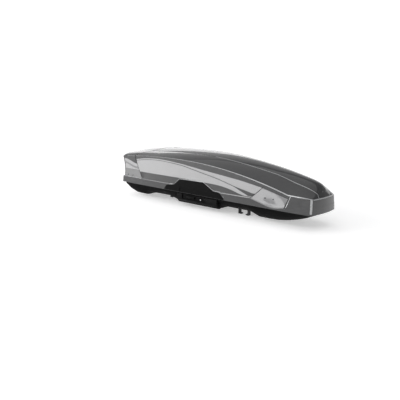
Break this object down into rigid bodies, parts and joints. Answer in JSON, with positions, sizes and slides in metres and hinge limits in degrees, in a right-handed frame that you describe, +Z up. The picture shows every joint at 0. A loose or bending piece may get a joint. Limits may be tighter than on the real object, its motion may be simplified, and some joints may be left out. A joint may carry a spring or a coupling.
{
  "type": "roof cargo box",
  "caption": "Long tapered hard-shell roof cargo box with a gloss grey lid that opens from either side, a black tub, hook locks, folding lifter arms and screw clamps for two roof bars.",
  "frame": {"origin": "under the middle of the box, level with the tips of the clamp jaws", "axes": "+X to the nose (forward on the car), +Y to the left side, +Z up"},
  "size_m": [1.89, 0.6708, 0.4319],
  "materials": {
    "lid_paint": "metallic flake, clear gloss",
    "base_plastic": "fine grain",
    "trim_black": "satin grain",
    "rubber": "matte",
    "aluminium": "brushed",
    "steel": "zinc plated",
    "arm_metal": "satin paint",
    "beam_dark": "satin paint",
    "webbing": "woven",
    "buckle_plastic": "satin",
    "rivet_black": "satin paint",
    "clamp_plastic": "fine grain",
    "knob_plastic": "satin",
    "jaw_metal": "powder coat",
    "key_metal": "polished"
  },
  "bodies": {
    "base": {"base_shell": "base_plastic", "rim_seal": "rubber", "floor_rails": "aluminium", "base_screws": "steel", "bar_pads": "rubber", "hinge_cradles_right": "base_plastic", "hinge_cradles_left": "base_plastic", "lock_housing_right": "trim_black", "lock_housing_left": "trim_black", "lifter_beam_front": "aluminium", "lifter_beam_rear": "aluminium", "lifter_pivots": "steel", "strap_front": "webbing", "strap_rear": "webbing", "strap_buckles": "buckle_plastic", "clamp_housing_front_right": "clamp_plastic", "clamp_housing_front_left": "clamp_plastic", "clamp_housing_rear_right": "clamp_plastic", "clamp_housing_rear_left": "clamp_plastic"},
    "right_pins": {"hinge_pins_right": "steel"},
    "lid": {"lid_shell": "lid_paint", "lid_beam_right": "beam_dark", "lid_beam_left": "beam_dark", "lid_bow_front": "aluminium", "lid_bow_rear": "aluminium", "hinge_brackets_right": "steel", "hinge_brackets_left": "steel", "handle_panel_right": "trim_black", "handle_panel_left": "trim_black", "hinge_pins_left": "steel", "shell_rivets": "rivet_black"},
    "lock_right": {"lock_bar_right": "steel", "slide_lever_right": "trim_black"},
    "lock_left": {"lock_bar_left": "steel", "slide_lever_left": "trim_black"},
    "key_right": {"key_cylinder_right": "key_metal"},
    "key_left": {"key_cylinder_left": "key_metal"},
    "arm_a_front": {"lifter_arm_a_front": "arm_metal"},
    "arm_b_front": {"lifter_arm_b_front": "arm_metal"},
    "arm_a_rear": {"lifter_arm_a_rear": "arm_metal"},
    "arm_b_rear": {"lifter_arm_b_rear": "arm_metal"},
    "clamp_screw_front_right": {"clamp_spindle_front_right": "steel", "clamp_knob_front_right": "knob_plastic"},
    "jaw_fore_front_right": {"jaw_fore_front_right": "jaw_metal"},
    "jaw_aft_front_right": {"jaw_aft_front_right": "jaw_metal"},
    "clamp_screw_front_left": {"clamp_spindle_front_left": "steel", "clamp_knob_front_left": "knob_plastic"},
    "jaw_fore_front_left": {"jaw_fore_front_left": "jaw_metal"},
    "jaw_aft_front_left": {"jaw_aft_front_left": "jaw_metal"},
    "clamp_screw_rear_right": {"clamp_spindle_rear_right": "steel", "clamp_knob_rear_right": "knob_plastic"},
    "jaw_fore_rear_right": {"jaw_fore_rear_right": "jaw_metal"},
    "jaw_aft_rear_right": {"jaw_aft_rear_right": "jaw_metal"},
    "clamp_screw_rear_left": {"clamp_spindle_rear_left": "steel", "clamp_knob_rear_left": "knob_plastic"},
    "jaw_fore_rear_left": {"jaw_fore_rear_left": "jaw_metal"},
    "jaw_aft_rear_left": {"jaw_aft_rear_left": "jaw_metal"}
  },
  "joints": [
    {"name": "lid_open_right", "type": "hinge", "parent": "base", "child": "right_pins", "pos_m": [-0.12131, 0.24605, 0.134], "axis": [-0.9956, 0.0935, 0], "range_deg": [0, 45]},
    {"name": "lid_open_left", "type": "hinge", "parent": "right_pins", "child": "lid", "pos_m": [-0.12131, -0.24605, 0.134], "axis": [-0.9956, -0.0935, 0], "range_deg": [-45, 0]},
    {"name": "arm_a_front_swing", "type": "hinge", "parent": "base", "child": "arm_a_front", "pos_m": [0.54, 0, 0.134], "axis": [-1, 0, 0], "range_deg": [0, 90]},
    {"name": "arm_b_front_swing", "type": "hinge", "parent": "base", "child": "arm_b_front", "pos_m": [0.54, 0, 0.134], "axis": [-1, 0, 0], "range_deg": [-90, 0]},
    {"name": "arm_a_rear_swing", "type": "hinge", "parent": "base", "child": "arm_a_rear", "pos_m": [-0.79, 0, 0.134], "axis": [-1, 0, 0], "range_deg": [0, 90]},
    {"name": "arm_b_rear_swing", "type": "hinge", "parent": "base", "child": "arm_b_rear", "pos_m": [-0.79, 0, 0.134], "axis": [-1, 0, 0], "range_deg": [-90, 0]},
    {"name": "lock_right_slide", "type": "slide", "parent": "base", "child": "lock_right", "axis": [0.9956, 0.0935, 0], "range_m": [-0.02, 0]},
    {"name": "lock_left_slide", "type": "slide", "parent": "base", "child": "lock_left", "axis": [-0.9956, 0.0935, 0], "range_m": [0, 0.02]},
    {"name": "key_right_turn", "type": "hinge", "parent": "base", "child": "key_right", "pos_m": [-0.05649, -0.23996, 0.083], "axis": [-0.0935, 0.9956, 0], "range_deg": [-90, 0]},
    {"name": "key_left_turn", "type": "hinge", "parent": "base", "child": "key_left", "pos_m": [-0.05649, 0.23996, 0.083], "axis": [-0.0935, -0.9956, 0], "range_deg": [0, 90]},
    {"name": "knob_front_right_turn", "type": "hinge", "parent": "base", "child": "clamp_screw_front_right", "pos_m": [0.27, -0.09, 0.08], "axis": [1, 0, 0], "range_deg": [0, 270]},
    {"name": "jaw_fore_front_right_slide", "type": "slide", "parent": "base", "child": "jaw_fore_front_right", "axis": [1, 0, 0], "range_m": [0, 0.012]},
    {"name": "jaw_aft_front_right_slide", "type": "slide", "parent": "base", "child": "jaw_aft_front_right", "axis": [-1, 0, 0], "range_m": [0, 0.0121]},
    {"name": "knob_front_left_turn", "type": "hinge", "parent": "base", "child": "clamp_screw_front_left", "pos_m": [0.27, 0.09, 0.08], "axis": [1, 0, 0], "range_deg": [0, 270]},
    {"name": "jaw_fore_front_left_slide", "type": "slide", "parent": "base", "child": "jaw_fore_front_left", "axis": [1, 0, 0], "range_m": [0, 0.012]},
    {"name": "jaw_aft_front_left_slide", "type": "slide", "parent": "base", "child": "jaw_aft_front_left", "axis": [-1, 0, 0], "range_m": [0, 0.0121]},
    {"name": "knob_rear_right_turn", "type": "hinge", "parent": "base", "child": "clamp_screw_rear_right", "pos_m": [-0.505, -0.09, 0.08], "axis": [1, 0, 0], "range_deg": [0, 270]},
    {"name": "jaw_fore_rear_right_slide", "type": "slide", "parent": "base", "child": "jaw_fore_rear_right", "axis": [1, 0, 0], "range_m": [0, 0.012]},
    {"name": "jaw_aft_rear_right_slide", "type": "slide", "parent": "base", "child": "jaw_aft_rear_right", "axis": [-1, 0, 0], "range_m": [0, 0.0121]},
    {"name": "knob_rear_left_turn", "type": "hinge", "parent": "base", "child": "clamp_screw_rear_left", "pos_m": [-0.505, 0.09, 0.08], "axis": [1, 0, 0], "range_deg": [0, 270]},
    {"name": "jaw_fore_rear_left_slide", "type": "slide", "parent": "base", "child": "jaw_fore_rear_left", "axis": [1, 0, 0], "range_m": [0, 0.012]},
    {"name": "jaw_aft_rear_left_slide", "type": "slide", "parent": "base", "child": "jaw_aft_rear_left", "axis": [-1, 0, 0], "range_m": [0, 0.0121]}
  ],
  "couplings": [
    {"joint": "arm_a_front_swing", "follows": "lid_open_right", "ratio": 1.99},
    {"joint": "arm_b_front_swing", "follows": "lid_open_left", "ratio": 1.99},
    {"joint": "arm_a_rear_swing", "follows": "lid_open_right", "ratio": 1.99},
    {"joint": "arm_b_rear_swing", "follows": "lid_open_left", "ratio": 1.99},
    {"joint": "knob_front_right_turn", "follows": "jaw_fore_front_right_slide", "rad_per_m": 392},
    {"joint": "jaw_aft_front_right_slide", "follows": "jaw_fore_front_right_slide", "ratio": 1},
    {"joint": "knob_front_left_turn", "follows": "jaw_fore_front_left_slide", "rad_per_m": 392},
    {"joint": "jaw_aft_front_left_slide", "follows": "jaw_fore_front_left_slide", "ratio": 1},
    {"joint": "knob_rear_right_turn", "follows": "jaw_fore_rear_right_slide", "rad_per_m": 392},
    {"joint": "jaw_aft_rear_right_slide", "follows": "jaw_fore_rear_right_slide", "ratio": 1},
    {"joint": "knob_rear_left_turn", "follows": "jaw_fore_rear_left_slide", "rad_per_m": 392},
    {"joint": "jaw_aft_rear_left_slide", "follows": "jaw_fore_rear_left_slide", "ratio": 1}
  ]
}
